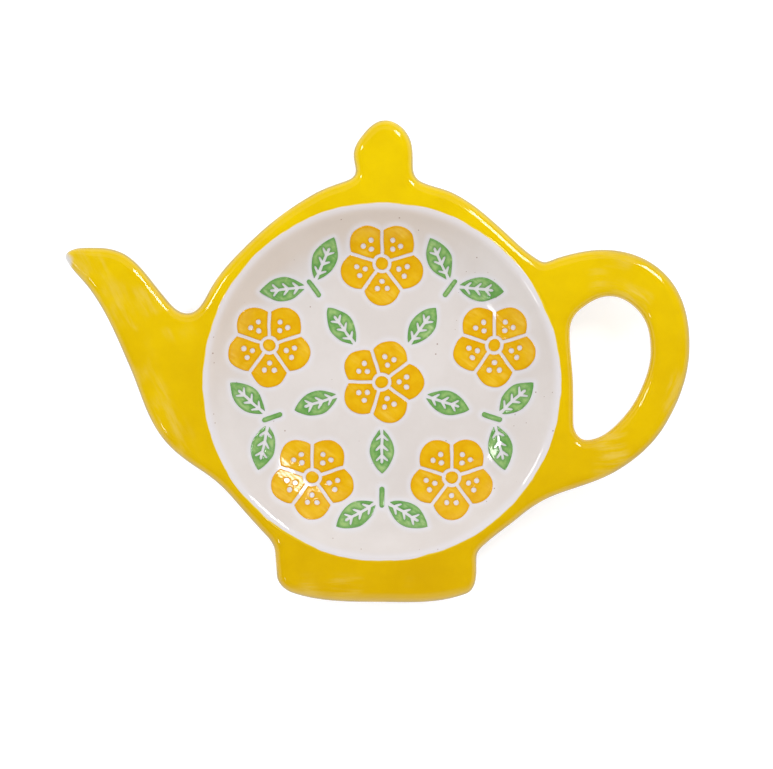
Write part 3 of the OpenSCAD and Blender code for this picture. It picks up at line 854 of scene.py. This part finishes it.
def under_angle(radius):
    """Angle from straight down at which the bowl's outside reaches a radius."""
    return asin((radius - FLOOR_R) / UNDER_R)


def bowl_outside(bm, radius_from, radius_to, depth, steps):
    turn = under_angle(radius_from)
    start = start_at(bm, FLOOR_R + (UNDER_R - depth) * sin(turn), BOWL_Z - (UNDER_R - depth) * cos(turn))
    return start, arc_to(bm, start, (FLOOR_R, BOWL_Z), under_angle(radius_to) - turn, steps)


bm = bmesh.new()
meet_r = FLOOR_R + sqrt(UNDER_R ** 2 - (BOWL_Z - PLATE_Z) ** 2) + SUNK_IN_PLATE
skin = [bowl_outside(bm, FOOT_R - SUNK_IN_FOOT, meet_r, depth, steps=16) for depth in (0, GLAZE_T)]
for outer, inner in zip(*skin):
    bm.edges.new((outer, inner))
add_to(underside, turn_section(bm, "underside"))
finished_piece(underside, "glazed_underside", white_glaze, ["underside_glaze"],
               sharp_angle=60)

# %% The recess inside the foot ring
bm = bmesh.new()
ceiling = [(start_at(bm, 0, z), z) for z in (FLOOR_Z - WALL_T, FLOOR_Z - WALL_T + GLAZE_T)]
ends = [line_to(bm, start, FOOT_R - FOOT_W + SUNK_IN_FOOT, z, steps=20) for start, z in ceiling]
bm.edges.new(ends)
finished_piece(turn_section(bm, "recess"), "glazed_recess", white_glaze,
               ["foot_recess_glaze"])

# %% The turned clay, which shows only at the foot
bm = bmesh.new()
inner = line_to(bm, start_at(bm, 0, FLOOR_Z - GLAZE_T), FLOOR_R, FLOOR_Z - GLAZE_T, steps=3)
inner = arc_to(bm, inner, (FLOOR_R, BOWL_Z), pi / 2 + LIP_ANGLE - SHORT_OF_LIP, steps=16)
low, high = bowl_outside(bm, FOOT_R, meet_r, GLAZE_T, steps=12)
bm.edges.new((inner, high))
toe = line_to(bm, low, FOOT_R, 0)
heel = line_to(bm, toe, FOOT_R - FOOT_W, 0, steps=3)
top = line_to(bm, heel, FOOT_R - FOOT_W, FLOOR_Z - WALL_T + GLAZE_T)
line_to(bm, top, 0, FLOOR_Z - WALL_T + GLAZE_T, steps=3)
bmesh.ops.bevel(bm, geom=[toe, heel], offset=FOOT_ROUND * MM, offset_type="OFFSET", segments=5, profile=0.5,
                affect="VERTICES", material=-1)
finished_piece(turn_section(bm, "clay"), "turned_clay", bare_clay, ["clay_body"])

# %% [markdown]
# ## The painted enamel
# The enamel stands a fifth of a millimetre proud of the well, with soft edges where it
# melted. Drawing it only as colour would lose that edge, and cutting it out of a curved
# sheet leaves ragged faces. Here each motif is drawn flat, filled, refined to small even
# triangles, given a thickness and a rounded edge, and then laid on the curve of the well
# like a transfer: its flat place says where, and its flat height becomes the height above
# the glaze.

# %% Sizes of the motifs
ENAMEL_T, SUNK_T = 0.2, 0.15
BLOSSOM_R, RING_R, PETAL_GAP, EYE_R, DOT_R = 8.8, 24.6, 0.7, 1.3, 0.55
LEAF_L, LEAF_W, VEIN_W, PAIR_R, STEM_W, STEM_L = 9.6, 5, 0.6, 25.2, 1, 4.4
PETALS = 5
SHOULDER_SHARE = 0.78
DOT_SHARES = [(0.42, 0), (0.6, -11), (0.6, 11)]
MIDRIB_SHARE, VEIN_REACH_SHARE, VEIN_ANGLE = 0.78, 0.36, radians(48)
VEIN_SHARES = [0.16, 0.38, 0.6]
VEIN_TIP_SHARE = 0.7
LEAF_FULLNESS = 0.85
PAIR_ANGLE = 60
PETAL_STEPS, PETAL_ROOT_STEPS, LEAF_STEPS, STEM_END_STEPS = 24, 4, 28, 6
DOT_SIDES, EYE_SIDES = 16, 24
FINE_FACE, TOO_LONG = 0.45, 1.5
REFINE_ROUNDS = 6
PAD_ROUND = 0.1
AT_TOP, UPRIGHT = 1e-7, 0.5


# %% Helpers for flat shapes
def add_loop(bm, points):
    verts = [bm.verts.new((x * MM, y * MM, 0)) for x, y in points]
    return [bm.edges.new((verts[i - 1], verts[i])) for i in range(len(verts))]


def add_ring(bm, x, y, radius, segments):
    made = bmesh.ops.create_circle(bm, segments=segments, radius=radius * MM,
                                   matrix=Matrix.Translation((x * MM, y * MM, 0)))
    return list({e for v in made["verts"] for e in v.link_edges})


def split_long(bm, edges, longest):
    """Halves edges until none is longer than that."""
    while edges:
        edges = [e for e in edges if e.calc_length() > longest * MM]
        if edges:
            edges = edges_in(bmesh.ops.subdivide_edges(bm, edges=edges, cuts=1)["geom_split"])


def fill_and_refine(bm):
    """Fills the loops of a flat island and gives it small, even triangles."""
    split_long(bm, bm.edges[:], FINE_FACE)
    bmesh.ops.triangle_fill(bm, edges=bm.edges[:], use_beauty=True)
    for _ in range(REFINE_ROUNDS):
        long_edges = [e for e in bm.edges
                      if not e.is_boundary and e.calc_length() > TOO_LONG * FINE_FACE * MM]
        if not long_edges:
            break
        bmesh.ops.subdivide_edges(bm, edges=long_edges, cuts=1)
        bmesh.ops.triangulate(bm, faces=bm.faces[:])
        bmesh.ops.beautify_fill(bm, faces=bm.faces[:], edges=[e for e in bm.edges if not e.is_boundary],
                                method="ANGLE")
        inner = [v for v in bm.verts if not v.is_boundary]
        bmesh.ops.smooth_vert(bm, verts=inner, factor=0.5, use_axis_x=True, use_axis_y=True)
    return bm


def raise_pad(bm):
    """Gives a flat sheet its thickness below z = 0 and a rounded upper edge."""
    edge_value = bm.verts.layers.float.new("edge")
    border = [v.co.copy() for v in bm.verts if v.is_boundary]
    tree = search_tree(border)
    for vert in bm.verts:
        vert[edge_value] = tree.find(vert.co)[2] / MM
    grown = bmesh.ops.extrude_face_region(bm, geom=bm.faces[:])["geom"]
    bmesh.ops.translate(bm, verts=verts_in(grown), vec=(0, 0, -(ENAMEL_T + SUNK_T) * MM))
    bmesh.ops.recalc_face_normals(bm, faces=bm.faces)
    shoulder = [e for e in bm.edges if all(abs(v.co.z) < AT_TOP for v in e.verts)
                and any(abs(f.normal.z) < UPRIGHT for f in e.link_faces)]
    bmesh.ops.bevel(bm, geom=shoulder, offset=PAD_ROUND * MM, offset_type="OFFSET", segments=2,
                    profile=0.5, affect="EDGES", clamp_overlap=False, material=-1)
    return border


# %% A blossom: five petals with bare dots, round an eye
def petal_half_angle(radius):
    return pi / PETALS - asin(PETAL_GAP / 2 / radius)


def petal_outline():
    inner_r, shoulder = EYE_R + PETAL_GAP, petal_half_angle(BLOSSOM_R * SHOULDER_SHARE)
    points = []
    for i in range(PETAL_STEPS + 1):
        turn = shoulder * (2 * i / PETAL_STEPS - 1)
        radius = BLOSSOM_R * (SHOULDER_SHARE + (1 - SHOULDER_SHARE) * cos(pi / 2 * turn / shoulder))
        points.append((radius * cos(turn), radius * sin(turn)))
    for i in range(PETAL_ROOT_STEPS + 1):
        turn = petal_half_angle(inner_r) * (1 - 2 * i / PETAL_ROOT_STEPS)
        points.append((inner_r * cos(turn), inner_r * sin(turn)))
    return points


blossom = bmesh.new()
add_loop(blossom, petal_outline())
for share, turn in DOT_SHARES:
    away = BLOSSOM_R * share
    add_ring(blossom, away * cos(radians(turn)), away * sin(radians(turn)), DOT_R, DOT_SIDES)
fill_and_refine(blossom)
bmesh.ops.spin(blossom, geom=blossom.verts[:] + blossom.edges[:] + blossom.faces[:],
               cent=(0, 0, 0), axis=(0, 0, 1), angle=2 * pi * (PETALS - 1) / PETALS,
               steps=PETALS - 1, use_duplicate=True)
eye = bmesh.new()
add_ring(eye, 0, 0, EYE_R, EYE_SIDES)
add_to(blossom, fill_and_refine(eye))
blossom_border = raise_pad(blossom)
print("blossom:", len(blossom.faces), "faces")


# %% A leaf whose bare veins open at its base
def vein_edge(side):
    """The edge of the bare midrib and its side veins, from the base towards the tip."""
    half = VEIN_W / 2
    ahead = Vector((cos(VEIN_ANGLE), sin(VEIN_ANGLE)))
    aside = Vector((-ahead.y, ahead.x))
    points = []
    for share in VEIN_SHARES:
        root = Vector((LEAF_L * share, 0))
        tip = root + ahead * LEAF_W * VEIN_REACH_SHARE
        near = root + aside * half + ahead * (half - aside.y * half) / ahead.y
        far = root - aside * half + ahead * (half + aside.y * half) / ahead.y
        points += [near, tip + aside * half * VEIN_TIP_SHARE - ahead * half, tip,
                   tip - aside * half * VEIN_TIP_SHARE - ahead * half, far]
    points.append(Vector((LEAF_L * MIDRIB_SHARE - half, half)))
    return [(p.x, side * p.y) for p in points]


def leaf_outline():
    shares = [i / LEAF_STEPS for i in range(1, LEAF_STEPS)]
    edge = [(LEAF_L * t, LEAF_W / 2 * sin(pi * t) ** LEAF_FULLNESS) for t in shares]
    return ([(x, -y) for x, y in edge] + [(LEAF_L, 0)] + edge[::-1] + vein_edge(1)
            + [(LEAF_L * MIDRIB_SHARE, 0)] + vein_edge(-1)[::-1])


leaf = bmesh.new()
add_loop(leaf, leaf_outline())
leaf_border = raise_pad(fill_and_refine(leaf))
stem = bmesh.new()
stem_round = [radians(180 * i / STEM_END_STEPS) for i in range(STEM_END_STEPS + 1)]
stem_from, stem_to = PAIR_R + 1.5 * STEM_W - STEM_L, PAIR_R + STEM_W / 2
stem_outline = [(stem_to + STEM_W / 2 * sin(t), -STEM_W / 2 * cos(t)) for t in stem_round]
stem_outline += [(stem_from - STEM_W / 2 * sin(t), STEM_W / 2 * cos(t)) for t in stem_round]
add_loop(stem, stem_outline)
stem_border = raise_pad(fill_and_refine(stem))
print("leaf:", len(leaf.faces), "faces, stem:", len(stem.faces), "faces")


# %% Lay the motifs on the well
WOBBLE, WOBBLE_WAVE = 0.14, 2.6
MOTIF_STRIDE = Vector((9, 0, 0))
SIDEWAYS_FIELD = Vector((0, 50, 0))


def on_well(place, height):
    """The point above the well at a flat place, and the way up from the glaze there."""
    radius = hypot(place.x, place.y)
    lean = max(radius / MM - FLOOR_R, 0) / BOWL_R
    rise = sqrt(1 - lean ** 2)
    up = Vector((-lean * place.x / radius, -lean * place.y / radius, rise)) if lean else Vector((0, 0, 1))
    return Vector((place.x, place.y, (BOWL_Z - BOWL_R * rise) * MM)) + up * height


def brush_wobble(place, seed):
    """Small sideways drift of a painted edge, different for each motif."""
    here = place / (WOBBLE_WAVE * MM) + seed * MOTIF_STRIDE
    return WOBBLE * MM * Vector((noise.noise(here), noise.noise(here + SIDEWAYS_FIELD), 0))


def transfer(parts, name, material, node, seed):
    """Lays flat pads, each with its placing, on the well as one piece."""
    piece = bmesh.new()
    for pad, placing in parts:
        copy = pad.copy()
        for vert in copy.verts:
            flat = placing @ Vector((vert.co.x, vert.co.y, 0))
            vert.co = on_well(flat + brush_wobble(flat, seed), ENAMEL_T * MM + vert.co.z)
        add_to(piece, copy)
    return finished_piece(piece, name, material, [node], sharp_angle=80)


def turned(degrees_round, *moves):
    placing = Matrix.Rotation(radians(degrees_round), 4, "Z")
    for x, y, turn in moves:
        placing = placing @ Matrix.Translation((x * MM, y * MM, 0)) @ Matrix.Rotation(radians(turn), 4, "Z")
    return placing


halo_points = []


def mark_border(border, placing):
    halo_points.extend(placing @ place for place in border)


transfer([(blossom, turned(0))], "painted_centre_blossom", orange_enamel,
         "centre_blossom", 0)
mark_border(blossom_border, turned(0))
for i in range(1, PETALS + 1):
    ring_turn = 90 + 360 * i / PETALS
    gap_turn = ring_turn + 180 / PETALS
    at_ring = turned(ring_turn, (RING_R, 0, 180 / PETALS))
    at_gap = turned(gap_turn, (BLOSSOM_R + PETAL_GAP, 0, 0))
    pair = [(leaf, turned(gap_turn, (PAIR_R, side * (STEM_W / 2 + PETAL_GAP), side * PAIR_ANGLE)))
            for side in (-1, 1)] + [(stem, turned(gap_turn))]
    transfer([(blossom, at_ring)], f"painted_ring_blossom_{i}", orange_enamel,
             f"ring_blossom_{i}", i)
    transfer([(leaf, at_gap)], f"painted_inner_leaf_{i}", green_enamel,
             f"inner_leaf_{i}", i + 10)
    transfer(pair, f"painted_leaf_pair_{i}", green_enamel, f"leaf_pair_{i}", i + 20)
    mark_border(blossom_border, at_ring)
    mark_border(leaf_border, at_gap)
    for (pad, placing), border in zip(pair, (leaf_border, leaf_border, stem_border)):
        mark_border(border, placing)

# %% [markdown]
# The light lines round the motifs are a value on the lining's vertices. It is one next to
# a motif, up to 0.3 mm from its edge, and falls to nothing 1.15 mm from it.

# %% Light lines round the motifs
HALO_FULL, HALO_WIDTH = 1.35, 0.85
tree = search_tree([(place.x, place.y, 0) for place in halo_points])
halo = lining.data.attributes.new("halo", "FLOAT", "POINT")
shares = []
for vert in lining.data.vertices:
    gap = tree.find((vert.co.x, vert.co.y, 0))[2] / MM
    shares.append(min(max(HALO_FULL - gap / HALO_WIDTH, 0), 1))
halo.data.foreach_set("value", shares)
print("halo points:", len(halo_points))
